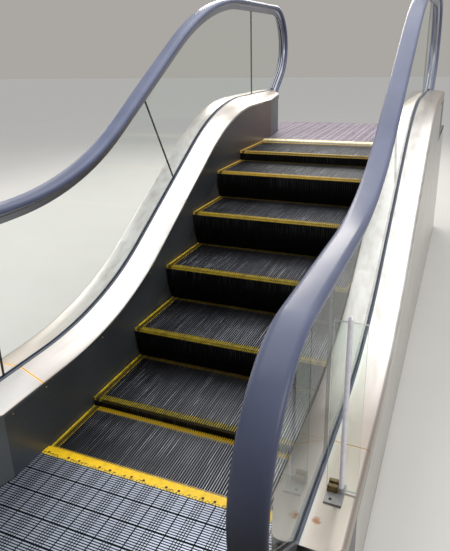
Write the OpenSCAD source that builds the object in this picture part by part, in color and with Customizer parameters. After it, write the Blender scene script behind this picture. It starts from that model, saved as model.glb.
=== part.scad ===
// Short indoor escalator, seen as fixed plant from ground level up.
// X runs across, +Y runs up the incline, Z is up. The origin is the middle of the underside.
// Side views are drawn in run coordinates: y from the start of the lower curve, z from the ground.

/* [Step band] */
// Width of the steps
step_w = 1000; // [600:100:1200]
// Length of a tread from nose to back edge
tread_l = 400; // [396:1:403]
// Distance from nose to nose along the path
step_pitch = 406; // [405:1:410]
// Height between the two landings
rise = 834; // [820:1:1000]
// Slope of the incline in degrees
incline = 30; // [28:1:32]
// Radius of the nose path in the lower curve
curve_low_r = 1230; // [1100:10:1400]
// Radius of the nose path in the upper curve
curve_up_r = 1465; // [1300:10:1600]
// Place of the first nose along the path
first_nose = -98; // [-110:1:-80]
// Distance between neighbouring cleats
cleat_pitch = 10; // [9:0.5:12]
// Width of a groove between cleats
groove_w = 6; // [5:0.5:7]
// Depth of the grooves in the tread
groove_d = 11; // [10:0.5:12]
// Width of the yellow strips at the step ends
border_w = 35; // [25:1:45]
// Depth of the yellow strip along the nose
nose_strip_l = 32; // [20:1:45]

/* [Landings] */
// Height of the treads above the ground at the lower landing
tread_z = 58; // [50:1:80]
// Height of the landing floor above the treads beside it
floor_lift = 8; // [6:0.5:12]
// Length of the lower landing from the comb tips outwards
low_landing_l = 965; // [900:5:1400]
// Length of the upper landing from the comb tips outwards
up_landing_l = 1130; // [1100:5:1600]
// Level run from the upper curve to the upper comb tips
up_flat = 453; // [420:1:480]
// Reach of the lower comb tips past the start of the lower curve
comb_reach = 15; // [0:1:30]
// Length of a comb from tips to back edge
comb_l = 65; // [60:1:80]
// Length of the comb's teeth
tooth_l = 16; // [14:1:20]
// Width of a comb tooth
tooth_w = 3; // [2:0.25:4]
// Thickness of the bottom pan
pan_t = 6; // [4:1:12]

/* [Balustrade] */
// Running gap between step end and skirt
skirt_gap = 3; // [2:0.5:4]
// Thickness of the skirt panels
skirt_t = 4; // [3:0.5:6]
// Height of the skirt above the landing treads
skirt_h = 272; // [250:1:300]
// Run position of the skirt's lower corner
skirt_bend = 600; // [570:5:640]
// Radius of the skirt's lower bend
skirt_low_r = 1650; // [1400:10:1800]
// Radius of the skirt's upper bend
skirt_up_r = 1525; // [1400:10:1700]
// Distance from step end to the middle of the glass
glass_u = 117; // [110:1:125]
// Thickness of the glass
glass_t = 10; // [8:1:12]
// Distance from step end to the outer face of the balustrade
side_u = 240; // [230:1:260]
// Rise of the inner deck from skirt to glass
deck_rise = 62; // [50:1:75]
// Distance from the lower comb tips to the joint of the inner deck
deck_joint = 5; // [0:1:20]
// Distance from the comb tips to the end of the skirts
skirt_past = 208; // [190:1:230]
// Length of the newel base past the skirt end, lower landing
low_base_l = 200; // [180:5:230]
// Length of the newel base past the skirt end, upper landing
up_base_l = 363; // [340:5:400]

/* [Handrail] */
// Height of the belt's middle above the landing treads
rail_h = 968; // [940:1:1000]
// Run position of the handrail's lower corner
rail_bend = 506; // [480:1:540]
// Radius of the handrail's lower bend
rail_low_r = 1450; // [1200:10:1600]
// Radius of the handrail's upper bend
rail_up_r = 1960; // [1800:10:2200]
// Radius of the newels at the belt's middle
newel_r = 302; // [280:1:310]
// Depth below the deck's top at which the belt enters the newel base
inlet_drop = 59; // [56:0.5:62]
// Fall over run of the belt where it dives into the newel base
dive_slope = 0.75; // [0.7:0.05:0.8]
// Width of the handrail belt
belt_w = 80; // [76:1:84]

/* [Barrier] */
// Height of the clear barrier plate
barrier_h = 512; // [400:4:600]
// Distance from the lower comb tips to the barrier, outwards
barrier_past = 197; // [150:1:250]

/* [Hidden] */
seat = 0.3;
half_w = step_w / 2;

// Nose path: level, lower curve, incline, upper curve, level
curve_low_y = curve_low_r * sin(incline);
curve_low_z = curve_low_r * (1 - cos(incline));
curve_up_y = curve_up_r * sin(incline);
curve_up_z = curve_up_r * (1 - cos(incline));
slope_l = (rise - curve_low_z - curve_up_z) / sin(incline);
arc_low_l = curve_low_r * incline * PI / 180;
arc_up_l = curve_up_r * incline * PI / 180;
path_end_y = curve_low_y + slope_l * cos(incline) + curve_up_y;
corner_y = curve_low_r * tan(incline / 2);
corner_run = rise / tan(incline);

comb_low_y = comb_reach;
comb_up_y = path_end_y + up_flat;
step_count = floor((arc_low_l + slope_l + arc_up_l + up_flat - first_nose) / step_pitch) + 1;

low_edge_y = comb_low_y - low_landing_l;
up_edge_y = comb_up_y + up_landing_l;
total_l = up_edge_y - low_edge_y;
arc_y = -total_l / 2 - low_edge_y;
upper_z = tread_z + rise;
bed_lift = 1.5;

skirt_low_y = comb_low_y - skirt_past;
skirt_up_y = comb_up_y + skirt_past;
base_low_y = skirt_low_y - low_base_l;
base_up_y = skirt_up_y + up_base_l;
joint_low_y = comb_low_y + deck_joint;
joint_up_y = comb_up_y + deck_joint + 15;
deck_gap = 2;
comb_plate_end = skirt_past - seat;

// Newels: the belt leaves the newel on a straight dive and meets the base's end at inlet_t
dive = atan(dive_slope);
newel_z = rail_h - newel_r;
newel_over = (newel_z - newel_r * cos(dive) - skirt_h - deck_rise + inlet_drop) / dive_slope
    - newel_r * sin(dive);
newel_low_y = base_low_y - newel_over;
newel_up_y = base_up_y + newel_over;
inlet_t = (newel_over + newel_r * sin(dive)) / cos(dive);

skin_t = 3;
housing_in = skirt_gap + skirt_t + seat;
housing_out = side_u - skin_t - seat;
channel_w = 24;
channel_in = glass_u - channel_w / 2;
channel_out = glass_u + channel_w / 2;
glass_seat = 20;
tall = 4 * rail_h;

steel = "silver";
brushed = "gainsboro";
black = "#26272b";
yellow = "gold";

module run() {
    translate([0, arc_y, 0]) children();
}

// Puts a piece drawn at the right side of the steps on either side: side = 1 right, -1 left
module on_side(side) {
    if (side > 0) translate([half_w, 0, 0]) children();
    else mirror([1, 0, 0]) translate([half_w, 0, 0]) children();
}

// Extrudes a side view drawn as (y, z) across X from x0 over a width
module across(x0, width) {
    translate([x0, 0, 0]) rotate([90, 0, 90]) linear_extrude(width) children();
}

// Point of the nose path at path position s, as [y, z, slope angle]
function nose(s) =
    s < 0 ? [s, 0, 0] :
    s < arc_low_l ? let (a = s / curve_low_r * 180 / PI)
        [curve_low_r * sin(a), curve_low_r * (1 - cos(a)), a] :
    s < arc_low_l + slope_l ? let (t = s - arc_low_l)
        [curve_low_y + t * cos(incline), curve_low_z + t * sin(incline), incline] :
    s < arc_low_l + slope_l + arc_up_l ?
        let (a = incline - (s - arc_low_l - slope_l) / curve_up_r * 180 / PI)
        [path_end_y - curve_up_r * sin(a), rise - curve_up_r * (1 - cos(a)), a] :
    [path_end_y + s - arc_low_l - slope_l - arc_up_l, rise, 0];

function nose_of(k) = nose(first_nose + (k - 1) * step_pitch);

// Points of a line that runs level at h, climbs from its lower corner at yb, and runs level again.
// off moves it along its normal; r1 and r2 are the bend radii of the unmoved line.
bend_step = 2.5;
function bend_line(h, yb, r1, r2, off, y0, y1) = concat(
    [[y0, tread_z + h + off]],
    [for (a = [0 : bend_step : incline])
        [yb - r1 * tan(incline / 2) + (r1 - off) * sin(a),
         tread_z + h + r1 - (r1 - off) * cos(a)]],
    [for (a = [incline : -bend_step : 0])
        [yb + corner_run + r2 * tan(incline / 2) - (r2 + off) * sin(a),
         upper_z + h - r2 + (r2 + off) * cos(a)]],
    [[y1, upper_z + h + off]]);

function deck_line(off, y0, y1) =
    bend_line(skirt_h, skirt_bend, skirt_low_r, skirt_up_r, off, y0, y1);

// Sweeps of a section drawn as (across, outwards)
module straight_run(y0, z0, y1, z1) {
    a = atan2(z1 - z0, y1 - y0);
    translate([0, y1, z1]) rotate([90 + a, 0, 0])
        linear_extrude(norm([y1 - y0, z1 - z0])) children();
}

// Arc about (cy, cz) from angle a0 to a1; outwards = 1 when the section's up side is away from the centre
module arc_run(cy, cz, r, a0, a1, outwards) {
    translate([0, cy, cz]) rotate([0, 90, 0]) rotate([0, 0, a0 + 90])
        rotate_extrude(angle = a1 - a0, $fn = 360)
            translate([r, 0]) rotate(outwards > 0 ? -90 : 90) mirror(outwards > 0 ? [1, 0] : [0, 0])
                children();
}

// Where two stretches can't meet face to face, one sleeves over the other by lap, larger by sleeve
lap = 2;
sleeve = 0.1;
module sleeved_run(y0, z0, y1, z1) {
    along_it = lap * [y1 - y0, z1 - z0] / norm([y1 - y0, z1 - z0]);
    straight_run(y0 - along_it[0], z0 - along_it[1], y1 + along_it[0], z1 + along_it[1])
        offset(delta = sleeve) children();
}

// Level, bend, incline, bend, level
module bent_run(h, yb, r1, r2, y0, y1) {
    t1 = r1 * tan(incline / 2);
    t2 = r2 * tan(incline / 2);
    a_y = yb - t1;
    b_y = yb + t1 * cos(incline);
    b_z = tread_z + h + t1 * sin(incline);
    c_y = yb + corner_run - t2 * cos(incline);
    c_z = upper_z + h - t2 * sin(incline);
    d_y = yb + corner_run + t2;
    straight_run(y0, tread_z + h, a_y, tread_z + h) children();
    arc_run(a_y, tread_z + h + r1, r1, 270, 270 + incline, -1) children();
    sleeved_run(b_y, b_z, c_y, c_z) children();
    arc_run(d_y, upper_z + h - r2, r2, 90, 90 + incline, 1) children();
    straight_run(d_y, upper_z + h, y1, upper_z + h) children();
}

module deck_run(y0, y1) {
    bent_run(skirt_h, skirt_bend, skirt_low_r, skirt_up_r, y0, y1) children();
}

// Base and landings

module bottom_pan() {
    color("dimgray") run()
        translate([-half_w - side_u, low_edge_y, 0]) cube([step_w + 2 * side_u, total_l, pan_t]);
}

front_clear = 12;
module lower_landing_frame() {
    color("dimgray") run() difference() {
        translate([-half_w - housing_out, low_edge_y + skin_t + seat, pan_t])
            cube([step_w + 2 * housing_out,
                  nose_of(1)[0] - front_clear - low_edge_y - skin_t - seat,
                  tread_z + bed_lift - pan_t]);
        for (side = [-1, 1]) on_side(side)
            translate([-skirt_gap - 5, skirt_low_y - seat, 0]) cube([side_u + 30, 400, tread_z + 20]);
    }
}

step_room = 8;
module upper_landing_box() {
    well_y = nose_of(step_count)[0] + tread_l + step_room;
    color("dimgray") run() difference() {
        translate([-half_w - housing_out, skirt_up_y + seat, pan_t])
            cube([step_w + 2 * housing_out, up_edge_y - skin_t - 2 * seat - skirt_up_y,
                  upper_z + bed_lift - pan_t]);
        translate([-half_w - skirt_gap, skirt_up_y - 10, 0])
            cube([step_w + 2 * skirt_gap, well_y - skirt_up_y + 10, upper_z + 50]);
    }
}

module end_sheet(y, z0, z1) {
    translate([-half_w - side_u, y, z0]) cube([step_w + 2 * side_u, skin_t, z1 - z0]);
}

// A tall sheet under the upper floor's edge and a low strip under the lower one's
module end_panels() {
    color(steel) run() {
        end_sheet(up_edge_y - skin_t, pan_t, upper_z + floor_lift);
        end_sheet(low_edge_y, pan_t, tread_z + floor_lift);
    }
}

module side_housings() {
    color("dimgray") run() for (side = [-1, 1]) on_side(side)
        across(housing_in, housing_out - housing_in)
            polygon(concat([[skirt_up_y, pan_t], [skirt_low_y, pan_t]],
                           deck_line(0, skirt_low_y, skirt_up_y)));
}

// Outer sheets of one side, in panels with open joints
panel_joint = 3;
cladding_panels = 3;
module cladding(side) {
    panel_l = (skirt_up_y - skirt_low_y + panel_joint) / cladding_panels;
    color(steel) run() on_side(side) {
        for (i = [0 : cladding_panels - 1])
            across(side_u - skin_t, skin_t) intersection() {
                polygon(concat([[skirt_up_y, pan_t], [skirt_low_y, pan_t]],
                               deck_line(0, skirt_low_y, skirt_up_y)));
                translate([skirt_low_y + i * panel_l, 0]) square([panel_l - panel_joint, tall]);
            }
        across(side_u - skin_t, skin_t)
            translate([skirt_up_y + panel_joint, pan_t])
                square([up_edge_y - skin_t - seat - skirt_up_y - panel_joint,
                        upper_z + bed_lift - pan_t]);
        across(side_u - skin_t, skin_t)
            translate([low_edge_y + skin_t + seat, pan_t])
                square([skirt_low_y - panel_joint - low_edge_y - skin_t - seat,
                        tread_z + bed_lift - pan_t]);
    }
}

// Steps

roller_r = 38;
roller_w = 13;
chain_axle = [345, -178];
trail_axle = [100, -178];
axle_r = 10;
cheek_t = 6;
cheek_out = half_w - 39;
chain_x = cheek_out + seat + roller_w + 1.2;
trail_x = cheek_out + seat;
plate_t = 5;
border_floor = 4;
base_top = -groove_d - border_floor;
base_bottom = base_top - plate_t;
riser_root = 6;
riser_t = 15;
step_depth = 216;
full_steps = 3;

grooves = 2 * floor((half_w - cleat_pitch / 2) / cleat_pitch) + 1;
function groove_x(i) = (i - (grooves - 1) / 2) * cleat_pitch;

// Cross-section with cleats between xa and xb, from z0 up to z1, grooves down to z2
module cleated(xa, xb, z0, z2, z1) {
    inside = [for (i = [0 : grooves - 1]) if (groove_x(i) > xa + groove_w / 2
        && groove_x(i) < xb - groove_w / 2) groove_x(i)];
    polygon(concat([[xb, z0], [xa, z0], [xa, z1]],
        [for (x = inside) each [[x - groove_w / 2, z1], [x - groove_w / 2, z2],
                                [x + groove_w / 2, z2], [x + groove_w / 2, z1]]],
        [[xb, z1]]));
}

// Prism of a cross-section from y0 to y1
module along(y0, y1) {
    translate([0, y1, 0]) rotate([90, 0, 0]) linear_extrude(y1 - y0) children();
}

land_edge = (round((half_w - border_w) / cleat_pitch - 0.5) + 0.5) * cleat_pitch;

module cheek(depth) {
    across(0, cheek_t) intersection() {
        polygon([[0, base_bottom + 1], [tread_l - 4, base_bottom + 1], [tread_l - 4, -70],
                 [tread_l - 14, -step_depth + 10], [tread_l - 24, -step_depth], [0, -step_depth]]);
        translate([tread_l, 0]) circle(r = tread_l - riser_t + 4, $fn = 180);
        translate([0, -depth]) square([tread_l, depth]);
    }
}

module riser(depth) {
    a0 = asin((-base_bottom + seat) / (tread_l - riser_t));
    a1 = asin(depth / tread_l);
    translate([0, tread_l, 0]) rotate([0, 90, 0]) rotate([0, 0, 270 + a0])
        rotate_extrude(angle = a1 - a0, $fn = 360)
            rotate(-90) mirror([1, 0])
                cleated(-half_w, half_w, tread_l - riser_t, tread_l - riser_root, tread_l);
}

module step(k) {
    p = nose_of(k);
    depth = min(step_depth, p[1] + tread_z - pan_t - seat);
    color(black) run() translate([0, p[0], p[1] + tread_z]) {
        along(nose_strip_l, tread_l)
            cleated(-land_edge, land_edge, base_top, -groove_d, 0);
        translate([-half_w, 0, base_bottom]) cube([step_w, tread_l, plate_t]);
        riser(depth);
        for (x = [-cheek_out, -cheek_t / 2, cheek_out - cheek_t])
            translate([x, 0, 0]) cheek(depth);
        if (k >= full_steps) for (c = [chain_axle, trail_axle])
            translate([-cheek_out, c[0], c[1]]) rotate([0, 90, 0])
                cylinder(r = axle_r, h = 2 * cheek_out, $fn = 48);
    }
}

module yellow_step_borders() {
    gap = seat / 2;
    color(yellow) run() for (k = [1 : step_count])
        translate([0, nose_of(k)[0], nose_of(k)[1] + tread_z]) {
            for (side = [-1, 1]) on_side(side)
                along(0, tread_l) translate([-half_w, 0])
                    cleated(land_edge + gap, half_w, base_top + seat, -groove_d, 0);
            along(0, nose_strip_l - gap)
                cleated(-land_edge + gap, land_edge - gap, base_top + seat, -groove_d, 0);
        }
}

module rollers(c, x) {
    for (k = [full_steps : step_count]) for (side = [-1, 1])
        translate([side > 0 ? x : -x - roller_w, nose_of(k)[0] + c[0], nose_of(k)[1] + tread_z + c[1]])
            rotate([0, 90, 0]) cylinder(r = roller_r, h = roller_w, $fn = 64);
}

module step_rollers() {
    color("black") run() {
        rollers(chain_axle, chain_x);
        rollers(trail_axle, trail_x);
    }
}

// Rail top under rollers whose centre lies at c from the nose
function rail_top(c, s) = let (p = nose(s), d = roller_r + seat)
    [p[0] + c[0] + d * sin(p[2]), p[1] + tread_z + c[1] - d * cos(p[2])];

// The rails start ahead of the first step that rolls on them and end past the last one
track_lead = roller_r;
track_past = 45;
module rail(c, x, width) {
    s_from = first_nose + (full_steps - 1) * step_pitch - track_lead;
    s_top = arc_low_l + slope_l;
    s_to = first_nose + (step_count - 1) * step_pitch + track_past;
    top = concat(
        [if (s_from < arc_low_l) for (i = [0 : 11]) rail_top(c, s_from + (arc_low_l - s_from) * i / 12)],
        [rail_top(c, max(s_from, arc_low_l))],
        [for (i = [0 : 12]) rail_top(c, s_top + arc_up_l * i / 12)],
        [rail_top(c, s_to)]);
    across(x, width) polygon(concat([[top[len(top) - 1][0], pan_t], [top[0][0], pan_t]], top));
}

module step_tracks() {
    color("gray") run() for (side = [-1, 1]) on_side(side) translate([-half_w, 0, 0]) {
        rail(trail_axle, trail_x, roller_w + 0.6);
        rail(chain_axle, trail_x + roller_w + 0.6, roller_w + 0.6);
    }
}

// Combs and floor

// Pieces drawn with t = distance from the comb tips outwards and z from the treads
module at_comb(upper) {
    translate([0, upper ? comb_up_y : comb_low_y, upper ? upper_z : tread_z])
        if (upper) children(); else mirror([0, 1, 0]) children();
}

// The cuts between comb parts fall midway between two teeth
comb_parts = 7;
comb_half_w = half_w + skirt_gap - seat;
function comb_cut(i) = i == 0 ? -comb_half_w : i == comb_parts ? comb_half_w :
    groove_x(round(i * grooves / comb_parts) - 0.5);

tooth_dip = 6;
tooth_root_t = 3;
comb_slope_l = 22;
module comb(upper) {
    color(yellow) run() at_comb(upper) for (i = [0 : comb_parts - 1]) {
        xa = comb_cut(i);
        xb = comb_cut(i + 1) - (i < comb_parts - 1 ? seat : 0);
        teeth = [for (g = [0 : grooves - 1]) if (groove_x(g) > xa && groove_x(g) < xb) groove_x(g)];
        intersection() {
            across(xa, xb - xa)
                polygon([[0, -tooth_dip], [0, -tooth_dip / 2], [tooth_l, bed_lift + tooth_root_t],
                         [tooth_l + comb_slope_l, floor_lift], [comb_l, floor_lift],
                         [comb_l, bed_lift], [tooth_l, bed_lift], [tooth_l, -tooth_dip]]);
            translate([0, 0, -20]) linear_extrude(60)
                polygon(concat([[xb, tooth_l], [xb, comb_l], [xa, comb_l], [xa, tooth_l]],
                    [for (x = teeth) each [[x - tooth_w / 2, tooth_l], [x - tooth_w / 2, 0],
                                           [x + tooth_w / 2, 0], [x + tooth_w / 2, tooth_l]]]));
        }
    }
}

module comb_plate(upper) {
    color(brushed) run() at_comb(upper)
        translate([-comb_half_w, comb_l + seat, bed_lift])
            cube([2 * comb_half_w, comb_plate_end - comb_l - seat, floor_lift - bed_lift]);
}

// Plan of a newel base as (distance from step end, distance past the skirt end), grown by c
base_corner_r = 60;
taper_u = 38;
function base_plan(len_out, c, inwards) = concat(
    [[skirt_gap - c, -inwards], [skirt_gap - c, 0], [skirt_gap + taper_u - c, len_out - 58]],
    [for (a = [170 : -16 : 90]) [110 + (70 + c) * cos(a), len_out - 70 + (70 + c) * sin(a)]],
    [for (a = [90 : -15 : 0]) [side_u - base_corner_r + (base_corner_r + c) * cos(a),
                               len_out - base_corner_r + (base_corner_r + c) * sin(a)]],
    [[side_u + c, -inwards]]);

module base_outline(upper, c, inwards) {
    len_out = upper ? up_base_l : low_base_l;
    translate([0, upper ? skirt_up_y : skirt_low_y])
        mirror(upper ? [0, 0] : [0, 1]) polygon(base_plan(len_out, c, inwards));
}

module floor_plate(upper) {
    edge = upper ? up_edge_y : low_edge_y;
    back = upper ? skirt_up_y : skirt_low_y;
    y0 = min(edge, back) + (upper ? 0 : skin_t + seat);
    y1 = max(edge, back) - (upper ? skin_t + seat : 0);
    color(brushed) run() translate([0, 0, (upper ? upper_z : tread_z) + bed_lift])
        linear_extrude(floor_lift - bed_lift) difference() {
            translate([-half_w - side_u, y0]) square([step_w + 2 * side_u, y1 - y0]);
            for (side = [-1, 1]) mirror([side > 0 ? 0 : 1, 0]) translate([half_w, 0]) {
                base_outline(upper, seat, 100);
                translate([skirt_gap - seat, upper ? skirt_up_y - 200 : skirt_low_y - 0.1])
                    square([side_u, 200.1]);
            }
        }
}

// Skirts and decks

module skirt(side) {
    below = 100;
    foot_y = corner_y + (below + pan_t + seat - tread_z) / tan(incline);
    color("slategray") run() on_side(side) across(skirt_gap, skirt_t)
        polygon(concat([[skirt_up_y, upper_z - below], [corner_y + corner_run, upper_z - below],
                        [foot_y, pan_t + seat], [skirt_low_y, pan_t + seat]],
                       deck_line(0, skirt_low_y, skirt_up_y)));
}

deck_lip = 10;
sheet_t = 3;
module inner_deck_section() {
    a = [skirt_gap, seat];
    b = [skirt_gap, deck_lip];
    c = [skirt_gap + 3, deck_lip + 4];
    d = [channel_in - seat, deck_rise - 1];
    polygon([a, b, c, d, d - [0, sheet_t + 1], c + [1, -sheet_t - 1], b + [sheet_t, -2], a + [sheet_t, 0]]);
}

function outer_deck_top() = [[channel_out + seat, deck_rise], [side_u - 14, deck_rise - 3],
    [side_u - 6, deck_rise - 6], [side_u - 1.5, deck_rise - 12], [side_u, deck_rise - 20], [side_u, seat]];
module outer_deck_section() {
    top = outer_deck_top();
    polygon(concat(top, [[side_u - sheet_t, seat], [side_u - sheet_t, deck_rise - 20],
        [side_u - 7, deck_rise - 9], [side_u - 15, deck_rise - 3 - sheet_t],
        [channel_out + seat, deck_rise - sheet_t]]));
}

module inner_deck(side) {
    color(brushed) run() on_side(side)
        deck_run(joint_low_y + deck_gap, joint_up_y - deck_gap) inner_deck_section();
}

module outer_deck(side) {
    color(brushed) run() on_side(side)
        deck_run(joint_low_y + deck_gap, joint_up_y - deck_gap) outer_deck_section();
}

// Closed end of the balustrade base, which swallows the handrail
slot_end = 40;
channel_end = slot_end + seat;
module newel_base(side, upper) {
    z_deck = (upper ? upper_z : tread_z) + skirt_h;
    z_foot = (upper ? upper_z : tread_z) + bed_lift;
    joint = upper ? joint_up_y : joint_low_y;
    skirt_end = upper ? skirt_up_y : skirt_low_y;
    end = upper ? base_up_y : base_low_y;
    inwards = abs(skirt_end - joint);
    color(brushed) run() on_side(side) difference() {
        intersection() {
            union() {
                translate([0, max(joint, end) , z_deck]) rotate([90, 0, 0])
                    linear_extrude(abs(end - joint))
                        polygon(concat([[side_u, seat], [skirt_gap, seat], [skirt_gap, deck_lip],
                            [skirt_gap + 3, deck_lip + 4], [channel_in - seat, deck_rise - 1],
                            [channel_in - seat, deck_rise - 1.01]], outer_deck_top()));
                translate([0, min(skirt_end, end) + (upper ? seat : 0), z_foot])
                    cube([side_u, abs(end - skirt_end) - seat, z_deck + 1 - z_foot]);
            }
            translate([0, 0, -1]) linear_extrude(tall) base_outline(upper, 0, inwards);
        }
        translate([channel_in - seat, upper ? joint - 1 : end + slot_end, z_deck])
            cube([channel_w + 2 * seat, abs(end - joint) - slot_end + 1, 200]);
        translate([glass_u - glass_t / 2 - seat, min(end, joint) - 1, z_deck + glass_seat - 1])
            cube([glass_t + 2 * seat, abs(end - joint) + 2, 200]);
        translate([glass_u - gasket_out - seat, min(end, joint) - 1, z_deck + deck_rise - gasket_h - seat])
            cube([2 * (gasket_out + seat), abs(end - joint) + 2, 200]);
        if (upper) upper_dive(inlet_t - collar_ahead - 22, inlet_t + belt_past + 30) dive_slot();
        else lower_dive(inlet_t - collar_ahead - 22, inlet_t + belt_past + 30) dive_slot();
    }
}

// Glass and its holders

channel_wall = 4;
module channel_section() {
    half = channel_w / 2;
    translate([glass_u, 0]) polygon([[-half, seat], [half, seat], [half, deck_rise],
        [half - channel_wall, deck_rise], [half - channel_wall, glass_seat - seat],
        [channel_wall - half, glass_seat - seat], [channel_wall - half, deck_rise],
        [-half, deck_rise]]);
}

module glass_channels() {
    color("dimgray") run() for (side = [-1, 1]) on_side(side)
        deck_run(base_low_y + channel_end, base_up_y - channel_end) channel_section();
}

// Rubber strips wedged in beside the glass, with a lip over each channel wall
gasket_h = 22;
gasket_out = channel_w / 2 - channel_wall - seat;
lip_t = 1.5;
lip_rise = 4;
module gasket_section(s) {
    inner = glass_t / 2 + seat;
    translate([glass_u, 0]) polygon([[s * inner, deck_rise - gasket_h],
        [s * gasket_out, deck_rise - gasket_h], [s * gasket_out, deck_rise + seat],
        [s * channel_w / 2, deck_rise + seat], [s * channel_w / 2, deck_rise + seat + lip_t],
        [s * (inner + lip_t), deck_rise + lip_rise], [s * inner, deck_rise + lip_rise]]);
}

module glass_gaskets() {
    color("black") run() for (side = [-1, 1]) on_side(side) for (s = [-1, 1])
        deck_run(base_low_y + seat, base_up_y - seat) gasket_section(s);
}

// Outline of the glass: its edge stands in the handrail guide, at a distance inside the belt's middle
newel_step = 5;
function newel_arc(cy, cz, r, toward) = concat(
    [[cy + toward * (r * cos(dive - 90) - (cz - r * cos(dive) - foot_z(cz)) / dive_slope), foot_z(cz)]],
    [for (a = [dive - 90 : newel_step : 90]) [cy + toward * r * cos(a), cz + r * sin(a)]],
    [[cy, cz + r]]);
function foot_z(cz) = cz - newel_z + skirt_h + glass_seat;
function reversed(list) = [for (i = [len(list) - 1 : -1 : 0]) list[i]];

function glass_outline(off) = concat(
    newel_arc(newel_low_y, tread_z + newel_z, newel_r - off, -1),
    bend_line(rail_h, rail_bend, rail_low_r, rail_up_r, -off, newel_low_y + 1, newel_up_y - 1),
    reversed(newel_arc(newel_up_y, upper_z + newel_z, newel_r - off, 1)),
    [for (i = [len(deck_line(0, 0, 1)) - 2 : -1 : 1]) deck_line(glass_seat, 0, 1)[i]]);

// Four panes a side: upright joints beside the combs, and one square to the incline halfway up
guide_slot = 38;
glass_gap = 3;
glass_past_low = 75;
glass_past_up = 80;
glass_up_slope = 788;
module glass_panels(side) {
    mid_y = skirt_bend + glass_up_slope;
    mid_z = tread_z + skirt_h + deck_rise + glass_up_slope * tan(incline);
    color([0.75, 0.88, 0.86, 0.35]) run() on_side(side)
        across(glass_u - glass_t / 2, glass_t) difference() {
            polygon(glass_outline(guide_slot + 1));
            translate([comb_low_y - glass_past_low, 0]) square([glass_gap, tall]);
            translate([comb_up_y + glass_past_up, 0]) square([glass_gap, tall]);
            translate([mid_y, mid_z]) rotate(incline)
                translate([0, -tall / 2]) square([glass_gap, tall]);
        }
}

// Handrails

function lower_dive_point(t) = [newel_low_y - newel_r * cos(90 - dive) + t * cos(dive),
    tread_z + newel_z - newel_r * sin(90 - dive) - t * sin(dive)];
function upper_dive_point(t) = [newel_up_y + newel_r * cos(90 - dive) - t * cos(dive),
    upper_z + newel_z - newel_r * sin(90 - dive) - t * sin(dive)];

module lower_dive(t0, t1) {
    a = lower_dive_point(t1);
    b = lower_dive_point(t0);
    sleeved_run(a[0], a[1], b[0], b[1]) children();
}

module upper_dive(t0, t1) {
    a = upper_dive_point(t0);
    b = upper_dive_point(t1);
    sleeved_run(a[0], a[1], b[0], b[1]) children();
}

// The part that shows above the dives: newel, level, bends and incline, newel
module rail_run() {
    arc_run(newel_low_y, tread_z + newel_z, newel_r, 90, 270 - dive, 1) children();
    bent_run(rail_h, rail_bend, rail_low_r, rail_up_r, newel_low_y, newel_up_y) children();
    arc_run(newel_up_y, upper_z + newel_z, newel_r, 90, dive - 90, 1) children();
}

// The belt is C-shaped: its lips close under the guide's T-shaped head
belt_up = 12;
belt_down = 15;
lip_in = 22;
lip_top = -8;
slot_w = 58;
slot_top = 3;
module belt_section() {
    w = belt_w / 2;
    edge = [[lip_in, lip_top], [lip_in, -belt_down], [w - 9, -belt_down], [w - 2.5, -belt_down * 0.8],
            [w, -belt_down * 0.27], [w - 1.5, belt_up / 4], [w - 7, belt_up * 0.75], [w - 20, belt_up]];
    translate([glass_u, 0]) polygon(concat(edge,
        [for (i = [len(edge) - 1 : -1 : 0]) [-edge[i][0], edge[i][1]]],
        [[-slot_w / 2, lip_top], [-slot_w / 2, slot_top], [slot_w / 2, slot_top],
         [slot_w / 2, lip_top]]));
}

guide_foot_w = 22;
guide_reach = 55;
slide = 0.5;
module guide_section() {
    neck = lip_in - slide;
    head = slot_w / 2 - slide;
    grip = glass_t / 2 + seat;
    edge = [[grip, -guide_slot], [grip, -guide_reach], [guide_foot_w / 2, -guide_reach],
            [guide_foot_w / 2, 6 - guide_slot], [neck, -belt_down - 9], [neck, lip_top + slide],
            [head, lip_top + slide], [head, slot_top - seat]];
    translate([glass_u, 0]) polygon(concat(edge,
        [for (i = [len(edge) - 1 : -1 : 0]) [-edge[i][0], edge[i][1]]]));
}

// How far the belt runs on past the inlet, and how far short of it the guide stops
belt_past = 51;
guide_short = 44;
module handrail(side) {
    color("slategray") run() on_side(side) {
        rail_run() belt_section();
        lower_dive(0, inlet_t + belt_past) belt_section();
        upper_dive(0, inlet_t + belt_past) belt_section();
    }
}

module handrail_guides() {
    color(steel) run() for (side = [-1, 1]) on_side(side) {
        rail_run() guide_section();
        lower_dive(0, inlet_t - guide_short) guide_section();
        upper_dive(0, inlet_t - guide_short) guide_section();
    }
}

collar_out = [52, 26];
collar_ahead = 27;
collar_l = 40;
module dive_slot() {
    translate([glass_u - collar_out[0] - seat, -collar_out[1] - seat])
        square([2 * (collar_out[0] + seat), 2 * (collar_out[1] + seat)]);
}

module collar_section() {
    translate([glass_u, 0]) difference() {
        translate([-collar_out[0], -collar_out[1]]) square(2 * collar_out);
        translate([-belt_w / 2 - 1, -16]) square([belt_w + 2, 30]);
    }
}

module handrail_inlets() {
    color("black") run() for (side = [-1, 1]) on_side(side) {
        lower_dive(inlet_t - collar_ahead, inlet_t - collar_ahead + collar_l) collar_section();
        upper_dive(inlet_t - collar_ahead, inlet_t - collar_ahead + collar_l) collar_section();
    }
}

// Clear plate across the right outer deck, gripped by a clip with a post on its foot
barrier_t = 8;
barrier_in = 150;
barrier_w = 84;
barrier_y = comb_low_y - barrier_past;
deck_top_z = tread_z + skirt_h + deck_rise;
clip_foot = [49, 80, 4];
clip_z = deck_top_z - 0.6;
module barrier_plate() {
    color([0.8, 0.9, 0.9, 0.4]) run() on_side(1)
        translate([barrier_in, barrier_y, clip_z + clip_foot[2] + seat])
            cube([barrier_w, barrier_t, barrier_h]);
}

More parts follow.
